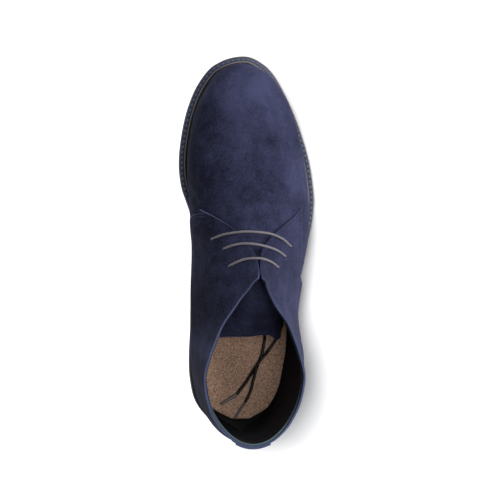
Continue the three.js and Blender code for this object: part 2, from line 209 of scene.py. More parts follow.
def solve(function, low, high, passes=26):  # where function crosses zero between low and high
    rising = function(high) > 0
    for _ in range(passes):
        middle = (low + high) / 2
        if (function(middle) > 0) == rising:
            high = middle
        else:
            low = middle
    return (low + high) / 2


def smoothStep(low, high, x):
    f = min(max((x - low) / (high - low), 0), 1)
    return f * f * (3 - 2 * f)


# The last's form, in millimetres
# Columns: topX, topZ, endX, endZ, ridgeY, endY, inner, outer, wide, topRound, endRound
sections = [
    (258.6, 23.0, 258.6, 21.0, -4.5, -4.5, -3.5, -5.5, 0.55, 2.0, 2.0),
    (256.6, 31.0, 256.0, 13.5, -4.5, -4.5, 7.1, -16.1, 0.60, 2.0, 2.6),
    (249.8, 38.5, 248.5, 10.5, -4.0, -4.0, 17.0, -25.0, 0.62, 2.1, 3.0),
    (238.0, 44.3, 236.0, 8.3, -3.5, -3.5, 25.4, -32.4, 0.64, 2.2, 3.4),
    (221.0, 49.0, 219.0, 7.0, -4.5, -4.5, 33.1, -41.2, 0.66, 2.2, 3.8),
    (200.0, 54.0, 198.0, 6.2, -6.0, -6.0, 37.6, -49.2, 0.70, 2.15, 4.0),
    (181.0, 58.7, 178.0, 5.6, -8.0, -7.5, 39.4, -54.7, 0.71, 2.1, 4.0),
    (164.0, 63.5, 158.0, 5.2, -10.0, -9.0, 38.8, -58.2, 0.72, 2.0, 4.0),
    (150.0, 68.5, 138.0, 5.6, -11.5, -10.0, 36.5, -59.2, 0.72, 1.95, 4.0),
    (139.0, 75.0, 115.0, 8.0, -12.0, -9.0, 33.8, -58.4, 0.71, 1.85, 4.0),
    (130.0, 81.5, 90.0, 12.0, -12.0, -7.0, 33.8, -54.2, 0.69, 1.8, 3.8),
    (122.5, 87.5, 62.0, 15.0, -12.0, -4.5, 34.6, -49.0, 0.67, 1.75, 3.6),
    (116.0, 93.0, 32.0, 17.0, -12.0, -3.0, 35.0, -44.5, 0.64, 1.7, 3.3),
    (110.5, 98.0, 2.0, 17.0, -12.0, -3.0, 35.2, -41.8, 0.62, 1.62, 3.0),
    (106.0, 102.5, -24.0, 19.0, -12.0, -4.0, 34.4, -41.4, 0.60, 1.55, 2.4),
    (102.5, 106.5, -36.0, 33.0, -12.0, -4.8, 33.0, -42.6, 0.58, 1.45, 2.05),
    (99.5, 110.5, -37.2, 52.0, -12.0, -5.6, 31.0, -44.0, 0.57, 1.35, 1.95),
    (97.5, 114.5, -35.0, 72.0, -12.0, -6.8, 28.8, -45.2, 0.57, 1.28, 1.95),
    (96.5, 118.5, -32.2, 92.0, -12.0, -7.8, 26.9, -45.4, 0.57, 1.24, 2.0),
    (96.0, 123.0, -30.6, 112.0, -12.0, -8.2, 25.6, -45.0, 0.57, 1.22, 2.0),
]
featherLine = lineTable([(-60, 28.5), (-36, 28), (-10, 27), (15, 26), (45, 24), (75, 20.5), (105, 16),
                         (135, 12), (165, 10.5), (195, 11.5), (235, 15), (259, 20), (285, 26)])
collarLine = lineTable([(-60, 105), (-34, 104.5), (-10, 101.5), (12, 98.8), (35, 97.5), (58, 98.5),
                        (78, 101.5), (92, 107.5), (99, 112.5), (112, 121)])
# The side seams: share f, then x
seamX = {1: straightTable([(0.45, 145.6), (0.53, 144.8), (0.60, 143.5), (0.68, 142), (0.76, 138.5),
                           (0.84, 132), (0.92, 124), (1.0, 116)], 0.005),
         -1: straightTable([(0.45, 146), (0.49, 145.6), (0.50, 131), (0.513, 118), (0.53, 108), (0.56, 100),
                        (0.61, 93), (0.70, 87), (0.84, 81), (1.0, 77)], 0.0025)}
facingInner = lineTable([(150, 33), (144.6, 27.8), (139.5, 17.4), (133, 6.6), (124.5, -3), (116.5, -8.6),
                         (109.5, -11), (103, -11.7), (99, -11.3), (90, -9.5)])
facingOuter = lineTable([(150, -54), (145.4, -49.3), (139.6, -42.1), (133, -32.5), (125, -21.8),
                         (117, -15), (109.5, -12.9), (103, -12.3), (99, -12.6), (90, -14)])
quarterProud = 1.4


@lru_cache(maxsize=20000)
def rowAt(t):
    return alongRows(sections, t)


def formPoint(t, turn):
    topX, topZ, endX, endZ, ridgeY, endY, inner, outer, wide, topRound, endRound = rowAt(t)
    cosine, sine = math.cos(turn), math.sin(turn)
    power = 2 / (topRound if cosine >= 0 else endRound)
    reach, spread = abs(cosine) ** power, abs(sine) ** power
    v = wide * (1 - reach) if cosine >= 0 else wide + (1 - wide) * reach
    middle = ridgeY + (endY - ridgeY) * wide
    width = inner - middle if sine >= 0 else outer - middle
    x, y = topX + (endX - topX) * v, ridgeY + (endY - ridgeY) * v + width * spread
    z = topZ + (endZ - topZ) * v
    if z > 60:  # the collar's front edges lie closer together, and the heel's top leans in
        front = smoothStep(60, 80, x) * (1 - smoothStep(92, 103, x)) * smoothStep(84, 100, z)
        y -= front * smoothStep(0, 13, abs(y + 12)) * (3.2 if y > -12 else -4.4)
        x += 2.8 * smoothStep(60, 104, z) * smoothStep(10, -25, x)
    return Vector((x, y, z))


def formNormal(t, turn):
    low, high = max(t - 0.04, 0), min(t + 0.04, len(sections) - 1)
    nudge = 0.02
    alongRun = formPoint(high, turn) - formPoint(low, turn)
    acrossRun = formPoint(t, turn + nudge) - formPoint(t, turn - nudge)
    normal = acrossRun.cross(alongRun)
    return normal.normalized() if normal.length > 1e-9 else Vector((1, 0, 0))


# The upper's own surface: t is a row; f runs from 0 at the ridge to 1 at the inner feather or
# heel line and to -1 at the outer one, evenly along the surface
ringStep, ringShares = 0.1, 48


def aboveFeather(t, turn):
    point = formPoint(t, turn)
    return point.z - readLine(featherLine, point.x) + 1


def ringTurns(t, side):
    # the angles at even shares of the way from the ridge down to the feather or the heel line
    turns, run, last, length = [0], [0], formPoint(t, 0), 0
    for i in range(1, 201):
        turn = pi * i / 200 * side
        point = formPoint(t, turn)
        if i > 60 and aboveFeather(t, turn) < 0:
            under = solve(lambda a: aboveFeather(t, a), turns[-1], turn, 12)
            turns.append(under)
            run.append(length + (formPoint(t, under) - last).length)
            break
        length += (point - last).length
        last = point
        turns.append(turn)
        run.append(length)
    out, k = [], 0
    for i in range(ringShares + 1):
        want = run[-1] * i / ringShares
        while k < len(run) - 2 and run[k + 1] < want:
            k += 1
        gap = run[k + 1] - run[k]
        out.append(turns[k] + (turns[k + 1] - turns[k]) * ((want - run[k]) / gap if gap else 0))
    return out


rings = {side: [ringTurns(i * ringStep, side) for i in range(int((len(sections) - 1) / ringStep) + 1)]
         for side in (1, -1)}


def turnAt(t, f):
    table = rings[1 if f >= 0 else -1]
    a = min(max(t / ringStep, 0), len(table) - 1.0001)
    b = min(abs(f), 1) * ringShares
    i, j = int(a), min(int(b), ringShares - 1)
    a, b = a - i, b - j
    low = table[i][j] + (table[i][j + 1] - table[i][j]) * b
    high = table[i + 1][j] + (table[i + 1][j + 1] - table[i + 1][j]) * b
    return low + (high - low) * a


def bare(t, f):
    return formPoint(t, turnAt(t, f))


def evenTable(function, low, high, count=64):
    values = [function(low + (high - low) * i / count) for i in range(count + 1)]

    def read(x):
        a = min(max((x - low) / (high - low) * count, 0), count - 0.0001)
        i = int(a)
        return values[i] + (values[i + 1] - values[i]) * (a - i)
    return read


def crossing(test, low, high):
    return solve(test, low, high, 22)


# The vamp's hidden edge: height, x
seamBack = lineTable([(4, 62), (15, 66), (22.5, 70), (31, 76), (38.5, 82), (44.5, 86), (50, 90), (56, 95),
                      (62, 102), (70, 107), (78, 108.5), (100, 107.5), (125, 106)])


def vampBack(f):
    return crossing(lambda t: readLine(seamBack, bare(t, f).z) - bare(t, f).x, 5, 15.4)


def seamRow(f, side):
    return crossing(lambda t: readLine(seamX[side], f) - bare(t, f * side).x, 5.5, 13)


def collarRow(f):
    return crossing(lambda t: bare(t, f).z - readLine(collarLine, bare(t, f).x), 13, 19)


def facingShare(side, line):
    def share(t):
        def past(f):
            point = bare(t, f * side)
            return (point.y - readLine(line, point.x)) * side
        return side * crossing(past, 0, 0.72)
    return share


vampEnd = evenTable(vampBack, -1, 1, 96)
sides = {}
for side, line in ((1, facingInner), (-1, facingOuter)):
    sides[side] = {
        "seam": evenTable(lambda f, s=side: seamRow(f, s), 0.3, 1, 280),
        "collar": evenTable(lambda f, s=side: collarRow(max(f, 0.001) * s), 0, 1),
        "facing": evenTable(facingShare(side, line), 7.8, 17),
    }


def quarterSpot(side, u, v):
    # row and share on a quarter: u runs from facing to feather, v from side seam to collar
    lines = sides[side]

    def shareAt(t):
        front = abs(lines["facing"](t))
        return front + (1 - front) * u

    def off(t):
        f = shareAt(t)
        return t - lines["seam"](f) * (1 - v) - lines["collar"](f) * v
    t = solve(off, 7.9, 19, 20)
    f = shareAt(t)
    return t, f * side


print("surface ready")


# Folds are soft troughs and ridges
# Each: points as x and share f along it, depth in mm (a trough is negative), half width in mm.
vampFolds = [
    ([(176, 0.30), (170, 0.10), (166, -0.12), (168, -0.34), (176, -0.56)], -1.1, 5.0),
    ([(168, 0.42), (159, 0.22), (155, 0.0)], 0.7, 5.0),
    ([(192, -0.52), (183, -0.40), (176, -0.24)], 0.8, 5.5),
    ([(160, -0.62), (152, -0.48), (147, -0.30)], -0.9, 4.5),
    ([(206, -0.30), (196, -0.12), (192, 0.08)], -0.6, 7.0),
    ([(228, -0.05), (236, -0.16), (240, -0.3)], 0.5, 6.0),
    ([(150, 0.62), (158, 0.74), (168, 0.84)], -0.8, 4.5),
    ([(218, 0.18), (228, 0.10), (236, 0.0)], -0.4, 5.0),
]
quarterFolds = [
    ([(118, -0.72), (106, -0.66), (92, -0.62)], -1.0, 4.5),
    ([(96, -0.80), (80, -0.72), (64, -0.70)], 0.9, 5.0),
    ([(70, -0.58), (54, -0.56), (38, -0.60)], -0.8, 6.0),
    ([(34, -0.76), (18, -0.68), (4, -0.66)], -1.0, 5.0),
    ([(120, 0.66), (104, 0.60), (90, 0.58)], -0.8, 5.0),
    ([(88, 0.78), (70, 0.70), (52, 0.70)], 0.8, 6.0),
    ([(40, 0.66), (22, 0.62), (4, 0.64)], -0.9, 6.0),
    ([(92, -0.34), (80, -0.30), (66, -0.34)], -0.5, 5.0),
    ([(98, 0.22), (88, 0.26), (76, 0.34)], -0.5, 5.0),
]


def foldTree(folds):
    spots = []
    for points, depth, half in folds:
        path = []
        for x, f in [alongRows(points, i / 8) for i in range((len(points) - 1) * 8 + 1)]:
            row = crossing(lambda t: x - bare(t, f).x, 1, 14)
            path.append(bare(row, f))
        for i, point in enumerate(path):
            ends = math.sin(pi * (i + 0.7) / (len(path) + 0.4)) ** 0.7
            spots.append((point, depth * ends, half))
    tree = KDTree(len(spots))
    for i, (point, _, _) in enumerate(spots):
        tree.insert(point, i)
    tree.balance()
    return tree, spots


def foldLift(tree, point):
    near, spots = tree
    best = {}
    for _, i, distance in near.find_range(point, 18):
        depth, half = spots[i][1:]
        key = (half, depth > 0)
        value = depth * math.exp(-(distance / half) ** 2)
        if abs(value) > abs(best.get(key, 0)):
            best[key] = value
    return sum(best.values())


def ripple(point, size, seed=0.0):
    return noise.noise(Vector((point.x / size + seed, point.y / size, point.z / size)))


vampTree, quarterTree = foldTree(vampFolds), foldTree(quarterFolds)


def vampLift(point):
    return foldLift(vampTree, point) + 0.35 * ripple(point, 26) + 0.10 * ripple(point, 9, 5)


outerBulge = {"x": 34, "z": 57, "reach": 27, "rise": 8.0}


def sideBulge(point):
    if point.y > -20:
        return 0
    x = (point.x - outerBulge["x"]) / outerBulge["reach"]
    z = (point.z - outerBulge["z"]) / outerBulge["reach"]
    return outerBulge["rise"] * math.exp(-x ** 2 - z ** 2)


def quarterLift(point):
    soft = 0.30 * ripple(point, 24, 3) + 0.10 * ripple(point, 9, 8)
    return foldLift(quarterTree, point) + soft + sideBulge(point)


# The upper: wall thicknesses and edge rounding in metres, lifts off the form in mm
upper = {"vampWall": 0.0016, "quarterWall": 0.0015, "liningWall": 0.0012, "liningLift": -0.35,
         "edgeRound": 0.00065, "holeRadius": 0.00165, "facingLift": 0.7, "sink": 2.4, "deepSink": 2.8,
         "overWelt": 3.9, "tuck": 1.15}


def upperSheet(name, spotAt, across, along, lift, thickness, materials, ease, holes=()):
    # a leather panel over the form: spotAt gives row and share; ease adds the folds
    def place(u, v):
        t, f = spotAt(u, v)
        turn = turnAt(t, f)
        point = formPoint(t, turn)
        extra = lift(u, v, point) if callable(lift) else lift
        return (point + formNormal(t, turn) * (extra + ease(point))) * mm
    bm = sheetFrom(place, across, along, Vector((0.11, -0.01, 0.05)))
    for centre, radius in holes:
        punchHole(bm, centre, radius)
    piece = objectFrom(bm, name, materials)
    thicken(piece, thickness, len(materials) - 1)
    return piece


def punchHole(bm, centre, radius):  # opens a round hole about a point on the sheet and rounds its edge
    inside = [v for v in bm.verts if (v.co - centre).length < radius]
    bmesh.ops.delete(bm, geom=inside, context="VERTS")
    for vert in bm.verts:
        gap = vert.co - centre
        if vert.is_boundary and gap.length < radius * 2.2:
            vert.co = centre + gap.normalized() * radius


def thicken(piece, thickness, rim):
    solid = piece.modifiers.new("thickness", "SOLIDIFY")
    solid.thickness = thickness
    solid.offset = -1
    solid.use_even_offset = False
    solid.material_offset_rim = rim
    edge = piece.modifiers.new("softEdge", "BEVEL")
    edge.width = upper["edgeRound"]
    edge.segments = 2
    edge.limit_method = "ANGLE"
    edge.angle_limit = math.radians(50)
    edge.material = rim
    edge.harden_normals = False


def finishPiece(piece, slot, *nodes):
    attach(piece, "root")
    if nodes:
        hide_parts(*nodes)
    return piece


laceHoles = {1: [(123, 21), (117, 12.4), (105, 9)],
             -1: [(118.3, -38.7), (111.5, -33.5), (104.3, -27.3)]}


def overQuarter(x, y, lift=quarterProud):  # the quarters' outside over a plan point, in metres
    side = 1 if y > -12 else -1

    def shareFor(t):
        return side * solve(lambda f: (bare(t, f * side).y - y) * side, 0, 0.9, 18)
    wantX, wantY = x, y
    for _ in range(3):  # so that the raised point, not its foot, lies over the plan point
        t = solve(lambda row: x - bare(row, shareFor(row)).x, 7, 16.2, 18)
        f = shareFor(t)
        turn = turnAt(t, f)
        out = formNormal(t, turn)
        point = formPoint(t, turn)
        spot = point + out * (lift + quarterLift(point))
        x, y = x + wantX - spot.x, y + wantY - spot.y
    return spot * mm


def makeUpper(suede, edge):
    # painted shade: the lining goes from near-black low down to dark grey higher up, darker deep inside the
    # boot
    inside = rampedMaterial("liningBlackDeepShade", "Z", (0.026, 0.055), (0.0016, 0.0016, 0.0019),
                            (0.0150, 0.0146, 0.0175), 0.75)
    teal = rampedMaterial("liningEdge", "X", (-0.022, 0.012), (0.055, 0.088, 0.096),
                          (0.010, 0.012, 0.020), 0.7)

    def vampSpot(u, v):
        f = 1 - 2 * u
        f = math.copysign(abs(f) ** 0.94, f)
        return vampEnd(f) * (0.0006 + 0.9994 * v ** 1.08), f

    def vampShape(u, v, point):
        # between the facings it sinks to become the tongue; the outer side bulges over the welt
        f = vampSpot(u, v)[1]
        sink = upper["sink"] + upper["deepSink"] * smoothStep(126, 110, point.x)
        sink *= smoothStep(145, 128, point.x)
        sink *= smoothStep(48, 60, point.z) * (1 - smoothStep(0.36, 0.47, abs(f)))
        over = smoothStep(0.48, 0.74, -f) * (1 - smoothStep(0.92, 1, -f))
        over *= upper["overWelt"] * smoothStep(257, 236, point.x) * smoothStep(160, 225, point.x)
        tuck = smoothStep(0.45, 0.70, f) * (1 - smoothStep(0.94, 1, f))
        tuck *= upper["tuck"] * smoothStep(254, 238, point.x) * smoothStep(140, 158, point.x)
        return over - tuck - sink
    vamp = upperSheet("vamp", vampSpot, 150, 150, vampShape, upper["vampWall"],
                      [suede, edge], vampLift)
    finishPiece(vamp, "suede", "upper")
    pieces = [vamp]

    def quarterShape(u, v, point):
        return quarterProud + upper["facingLift"] * (1 - smoothStep(0, 0.06, u))
    for side, name in ((1, "quarterInner"), (-1, "quarterOuter")):
        holes = [(overQuarter(x, y), upper["holeRadius"]) for x, y in laceHoles[side]]
        quarter = upperSheet(name, lambda u, v, s=side: quarterSpot(s, u, v ** 0.92), 80, 150, quarterShape,
                             upper["quarterWall"], [suede, edge], quarterLift, holes)
        finishPiece(quarter, "suede")
        pieces.append(quarter)

    def liningSpot(u, v):
        side, share = (1, 2 * u) if u < 0.5 else (-1, 2 - 2 * u)
        top = 0.999 - 0.03 * (1 - smoothStep(0.55, 0.95, share))
        return quarterSpot(side, 0.012 + 0.988 * share, 0.02 + (top - 0.02) * v)
    lining = upperSheet("lining", liningSpot, 90, 60, upper["liningLift"], upper["liningWall"],
                        [inside, teal], quarterLift)
    finishPiece(lining, "suede")
    print("upper made")
    return pieces


strip = {"half": 12.2, "lift": 2.5, "thickness": 0.0015, "firstRow": 14.62, "lastRow": 18.5,
         "middle": -4, "lean": 3.6, "seamFrom": 14.8, "seamRows": 3.6, "seamShare": 0.72}


def stripHalf(height):  # half its width at a share of its height
    return strip["half"] * (0.8 + 0.8 * (height - 0.5) ** 2)


def heelShare(t, y, passes):  # the share f of a row's point at y, either side of the heel line
    g = solve(lambda g: bare(t, 1 - g if g >= 0 else -1 - g).y - y, -0.4, 0.4, passes)
    return 1 - g if g >= 0 else -1 - g



def makeStrip(suede, edge):
    def spot(u, v):
        low, high = strip["firstRow"], strip["lastRow"]
        t = low + (high - low) * v
        y = strip["middle"] - strip["lean"] * v + (u - 0.5) * 2 * stripHalf(v)
        f = heelShare(t, y, 20)
        return low + (collarRow(f) - low) * v, f  # its top follows the collar
    piece = upperSheet("backStrip", spot, 24, 70, strip["lift"], strip["thickness"],
                       [suede, edge], quarterLift)
    paintNapAndShading(piece, stripShade)
    finishPiece(piece, "suede", "back_strip")
    print("back strip made")


# The tongue flap
# Columns: x and z of the middle line, how far the edges hang, the middle's y, half width (mm)
tongueFlap = [(112, 88.5, 8, -9, 9.5), (104, 95, 10, -9, 11), (98, 98.2, 13, -9.5, 12.5),
              (92, 98, 14, -10, 15), (85, 94.5, 12, -10.5, 18), (76, 87.5, 10, -11, 20),
              (66, 78, 7, -11.5, 22), (56, 68, 4, -12, 23.5), (47, 59.5, 2.5, -12, 24)]
tongue = {"curlFrom": 0.62, "curl": 9.0, "wave": 0.9, "bow": 4.5, "cornerBow": 7.5, "flare": 2.6,
          "thickness": 0.0015, "rawEnd": 0.98, "stitchAt": 0.955}


def tonguePoint(u, v, lift=0.0):
    t = v * (len(tongueFlap) - 1)
    x, z, drop, middle, half = alongRows(tongueFlap, t)
    before, after = alongRows(tongueFlap, t - 0.2), alongRows(tongueFlap, t + 0.2)
    run = Vector((after[0] - before[0], 0, after[1] - before[1])).normalized()
    share = 1 - 2 * u  # 1 at the inner edge
    late = smoothStep(0.55, 1, v)
    curl = tongue["curl"] * late * smoothStep(tongue["curlFrom"], 1.05, -share) ** 1.5
    rise = lift - drop * share * share - curl + tongue["wave"] * late * math.sin(share * 4.2 + 0.6)
    bow = -late * (tongue["bow"] * share * share + tongue["cornerBow"] * smoothStep(0.45, 1.0, -share))
    reach = half + tongue["flare"] * late * max(share, 0)
    point = Vector((x, middle + reach * share + 0.21 * curl, z))
    point += Vector((run.z, 0, -run.x)) * rise
    return (point + Vector((bow, 0, bow * 0.5)) * v ** 3) * mm


def makeTongue(suede, edge):
    bm = sheetFrom(tonguePoint, 54, 96)
    bm.normal_update()
    if sum(f.normal.z for f in bm.faces) < 0:
        bmesh.ops.reverse_faces(bm, faces=bm.faces)
    uvLayer = bm.loops.layers.uv.active
    for face in bm.faces:
        if min(loop[uvLayer].uv.y for loop in face.loops) > tongue["rawEnd"]:
            face.material_index = 1
    piece = objectFrom(bm, "tongueFlap", [suede, edge])
    thicken(piece, tongue["thickness"], 1)
    paintNapAndShading(piece, tongueShading)
    finishPiece(piece, "suede", "tongue")
    print("tongue made")


# The sole
soleEdge = [(263.5, -4.5), (262, 4), (258.8, 12.1), (252.7, 20.6), (238.5, 30.4), (219.8, 37.7),
            (198.6, 42.2), (179, 44), (161, 42.3), (148, 38.2), (137, 34.8), (120, 33), (95, 33), (70, 34.2),
            (45, 36), (22, 37.2), (5, 36.4), (-12, 32.5), (-26, 22.5), (-35.5, 9.5), (-39, -4.5),
            (-35.7, -18.5), (-26, -30.5), (-12, -37.5), (5, -40.3), (25, -42), (50, -44.5), (75, -49),
            (98, -55), (115, -59.7), (130, -63.2),
            (144.4, -64.6), (155.5, -64.5), (178.8, -61), (201.3, -54.5), (222.8, -46.1), (242.4, -35.7),
            (252.6, -28.3), (258.7, -20.9), (262.9, -12.4)]
sole = {"welt": 3.2, "stack": 11.3, "midsole": 1.3, "midsoleProud": 0.55, "heelBreast": 50.0, "rib": 0.7,
        "ribIn": 4.5, "stitchPitch": 4.3, "stitchFrom": 46.0, "stitchIn": 1.95, "edgePoints": 420}


def closedRun(points, perPoint):
    count = len(points)
    out = []
    for i in range(count):
        rows = [points[(i + k - 1) % count] for k in range(4)]
        out += [Vector((*alongRows(rows, 1 + s / perPoint), 0)) for s in range(perPoint)]
    return out


def evenRun(points, count, closed=True):  # the same line with count points at even distances
    loop = points + [points[0]] if closed else points
    run = [0]
    for a, b in zip(loop, loop[1:]):
        run.append(run[-1] + (b - a).length)
    out, k = [], 0
    for i in range(count):
        want = run[-1] * i / (count if closed else count - 1)
        while k < len(run) - 2 and run[k + 1] < want:
            k += 1
        gap = run[k + 1] - run[k]
        out.append(loop[k].lerp(loop[k + 1], (want - run[k]) / gap if gap else 0))
    return out


edgeRun = evenRun(closedRun(soleEdge, 8), sole["edgePoints"])


def footSpot(t, side):  # where a row's ring meets the feather line
    turn = solve(lambda a: aboveFeather(t, a * side), 1.7, pi)
    return tuple(formPoint(t, turn * side).xy)


footRows = [0.5 + 0.3 * i for i in range(46)] + [14.2, 14.35, 14.45, 14.5, 14.54, 14.57, 14.59]
footRun = closedRun([footSpot(t, 1) for t in footRows] + [footSpot(t, -1) for t in reversed(footRows)], 3)
footTree = KDTree(len(footRun))
for i, point in enumerate(footRun):
    footTree.insert(point, i)
footTree.balance()


def footHeight(x):
    return readLine(featherLine, x)


def sweepLoop(loop, profileAt, closed=False):
    # a profile carried round a closed plan line; profileAt(i) gives its points in mm
    count, wide = len(loop), len(profileAt(0))
    profiles = [profileAt(i) for i in range(count)]

    def place(u, v):
        k = round(v * (wide if closed else wide - 1)) % wide
        return profiles[round(u * count) % count][k] * mm
    bm = sheetFrom(place, count, wide if closed else wide - 1)
    bmesh.ops.recalc_face_normals(bm, faces=bm.faces)
    return bm


def rimFrame(loop, i):  # a point of the loop and the way out from it
    count = len(loop)
    ahead, behind = loop[(i + 2) % count], loop[(i - 2) % count]
    out = Vector((ahead.y - behind.y, behind.x - ahead.x, 0)).normalized()
    return loop[i % count], out if out.dot(loop[i % count] - Vector((110, -8, 0))) > 0 else -out


def paintBands(bm, wide, bands):  # gives the faces between two profile steps another material
    uvLayer = bm.loops.layers.uv.active
    for face in bm.faces:
        k = sum(loop[uvLayer].uv.y for loop in face.loops) / len(face.loops) * wide
        for low, high, index in bands:
            if low <= k < high:
                face.material_index = index


def makeWelt():
    navy = plainMaterial("weltNavy", (0.0085, 0.0120, 0.0280), 0.55, grain=0.0004)
    # painted highlight: the raised rib along the feather edge is coloured pale tan
    tan = plainMaterial("ribHighlight", (0.115, 0.098, 0.092), 0.6)
    # painted shade: a near-black band under the upper's edge, in the gap between the upper and the rib
    dark = plainMaterial("creviceShade", (0.006, 0.006, 0.009), 0.8)

    def profile(i):
        outer, out = rimFrame(edgeRun, i)
        inner = footTree.find(outer)[0]
        d, h = (outer - inner).length, footHeight(outer.x)
        rib, e = sole["rib"], min(d, sole["ribIn"])
        low = h - sole["welt"]
        pairs = [(d + 3, h - 0.8), (e + 0.9, h - 0.6), (e + 0.2, h - 0.5), (e, h + rib * 0.8),
                 (e - 0.4, h + rib), (e - 0.8, h + rib * 0.75), (e - 1.0, h + 0.02), (1.2, h),
                 (0.5, h - 0.05), (0.12, h - 0.35), (0, h - 0.9), (0, low), (d + 3, low)]
        return [Vector((*(outer - out * (max(a, 0) if k > 6 else max(a, 0.5))).xy, z))
                for k, (a, z) in enumerate(pairs)]
    bm = sweepLoop(edgeRun, profile, closed=True)
    # profile steps 0 to 3 under the upper's edge get the painted shade, steps 3 to 6 on the rib get the
    # painted highlight
    paintBands(bm, 13, [(0, 3, 2), (3, 6, 1)])
    finishPiece(objectFrom(bm, "weltBand", [navy, tan, dark]), "welt", "welt")

    thread = plainMaterial("weltThread", (0.036, 0.064, 0.150), 0.6)
    # painted shade: near-black flat marks between the welt stitches stand for the shaded wheel notches
    notch = plainMaterial("weltNotchShade", (0.0035, 0.0040, 0.0070), 0.7)
    bm = bmesh.new()
    around = sum((b - a).length for a, b in zip(edgeRun, edgeRun[1:] + edgeRun[:1]))
    steps = int(around / sole["stitchPitch"])
    line = evenRun(edgeRun, steps * 2)
    for i, point in enumerate(line):
        if point.x < sole["stitchFrom"]:
            continue
        outer, out = rimFrame(line, i)
        spot = outer - out * sole["stitchIn"]
        place = Vector((spot.x, spot.y, footHeight(spot.x) + (0.1 if i % 2 else 0.02))) * mm
        slope = Vector((1, 0, (footHeight(spot.x + 2) - footHeight(spot.x - 2)) / 4)).normalized()
        size = (1.5, 0.85, 0.45) if i % 2 else (0.62, 1.5, 0.14)
        along = Vector((-out.y, out.x, slope.z * -out.y)).normalized()
        turn = Matrix((along, out, Vector((0, 0, 1)))).transposed()
        addBead(bm, place, turn, size, 0 if i % 2 else 1)
    finishPiece(objectFrom(bm, "weltStitches", [thread, notch]), "welt")
    print("welt made")


def addBead(bm, place, turn, size, index=0, segments=8):
    # one small rounded bead; size is its half length, width and height in mm
    shape = Matrix.Translation(place) @ turn.to_4x4() @ Matrix.Diagonal((*(Vector(size) * mm), 1))
    made = bmesh.ops.create_uvsphere(bm, u_segments=segments, v_segments=4, radius=1, matrix=shape)
    for face in {f for v in made["verts"] for f in v.link_faces}:
        face.material_index = index


def makeOutsole():
    rubber = plainMaterial("soleRubber", (0.020, 0.019, 0.021), 0.5, grain=0.0006)
    tan = plainMaterial("midsoleTan", (0.17, 0.125, 0.115), 0.6)
    centre = Vector((110, -8, 0))

    def profile(i):
        outer, out = rimFrame(edgeRun, i)
        h = footHeight(outer.x)
        top, low = h - sole["welt"] - 0.02, max(0, h - sole["stack"])
        proud, tanLow = sole["midsoleProud"], h - sole["welt"] - sole["midsole"]
        rings = []
        for s in (1.0, 0.6, 0.2):
            spot = outer.lerp(centre, s)
            rings.append(Vector((*spot.xy, footHeight(spot.x) - sole["welt"] - 0.02)))
        side = [(0.3, top), (-proud, top - 0.1), (-proud - 0.1, (top + tanLow) / 2), (-proud, tanLow),
                (-0.15, tanLow - 0.15), (-0.15, low + 0.9), (0.2, low + 0.25), (0.9, low)]
        rings += [Vector((*(outer - out * a).xy, z)) for a, z in side]
        for s in (0.1, 0.25, 0.45, 0.65, 0.85, 1.0):
            spot = outer.lerp(centre, s)
            rings.append(Vector((*spot.xy, max(0, footHeight(spot.x) - sole["stack"]))))
        return rings
    bm = sweepLoop(edgeRun, profile)
    paintBands(bm, 16, [(3, 7, 1)])
    finishPiece(objectFrom(bm, "outsoleBlock", [rubber, tan]), "sole", "outsole")

    breast = sole["heelBreast"]
    back = [p for p in edgeRun if p.x < breast]
    start = max(range(len(back)), key=lambda k: (back[k] - back[k - 1]).length)
    back = back[start:] + back[:start]
    heelRun = evenRun(back, 150)
    middle = Vector((8, -4, 0))

    def seat(point):
        return footHeight(point.x) - sole["stack"] - 0.25

    def heelProfile(i):
        outer = heelRun[i]
        rings = [outer.lerp(middle, s) for s in (1.0, 0.6, 0.3, 0.04)]
        rings = [Vector((*spot.xy, seat(spot))) for spot in rings]
        rings += [Vector((*outer.lerp(middle, s).xy, z)) for s, z in
                  ((0.004, seat(outer) - 0.5), (0.004, 5.6), (0.02, 5.2), (0.02, 4.8), (0.004, 4.4),
                   (0.008, 0.6), (0.03, 0.05), (0.3, 0), (0.7, 0), (1.0, 0))]
        return rings
    heel = sweepLoop(heelRun, heelProfile)
    finishPiece(objectFrom(heel, "heelBlock", [rubber]), "sole", "heel")
    print("sole made")


footbed = {"inward": 2.25, "outerSpread": 7.2, "heelIn": 3.4, "low": -1.9, "heelCup": 1.5, "gap": 0.3}
footbedTop = [(0.0, 3.4), (0.004, 3.85), (0.011, 3.95), (0.021, 3.75), (0.05, 3.35), (0.10, 3.0),
              (0.17, 2.75), (0.26, 2.6), (0.38, 2.5), (0.52, 2.5), (0.68, 2.5), (0.84, 2.5), (1.0, 2.5)]


def makeFootbed():
    cork = corkMaterial()
    edge = plainMaterial("corkEdge", (0.30, 0.235, 0.18), 0.7)
    loop = evenRun(footRun, 220)
    centre = Vector((95, -8, 0))

    def profile(i):
        outer, out = rimFrame(loop, i)
        spread = smoothStep(-30, 22, outer.x) * smoothStep(60, 42, outer.x) * smoothStep(-8, -26, outer.y)
        inward = footbed["inward"] - footbed["outerSpread"] * spread
        rim = outer - out * (inward + footbed["heelIn"] * smoothStep(-16, -30, outer.x))
        heel = smoothStep(60, 0, rim.x)
        points = []
        for s, rise in [(s, footbed["low"]) for s in (1.0, 0.6, 0.3, 0.0)] + footbedTop:
            spot = rim.lerp(centre, s)
            cup = footbed["heelCup"] * heel * (1 - smoothStep(0, 0.2, s)) if rise > 0 else 0
            points.append(Vector((spot.x, spot.y, footHeight(spot.x) + rise + cup - footbed["gap"])))
        return points
    bm = sweepLoop(loop, profile)
    paintBands(bm, 16, [(3, 6, 1)])
    for face in bm.faces:  # the pale edge shows on the outer side only
        place = face.calc_center_median()
        if place.y > -0.02 or place.x < 0:
            face.material_index = 0
    finishPiece(objectFrom(bm, "footbedCork", [cork, edge]), "cork", "footbed")
    print("footbed made")


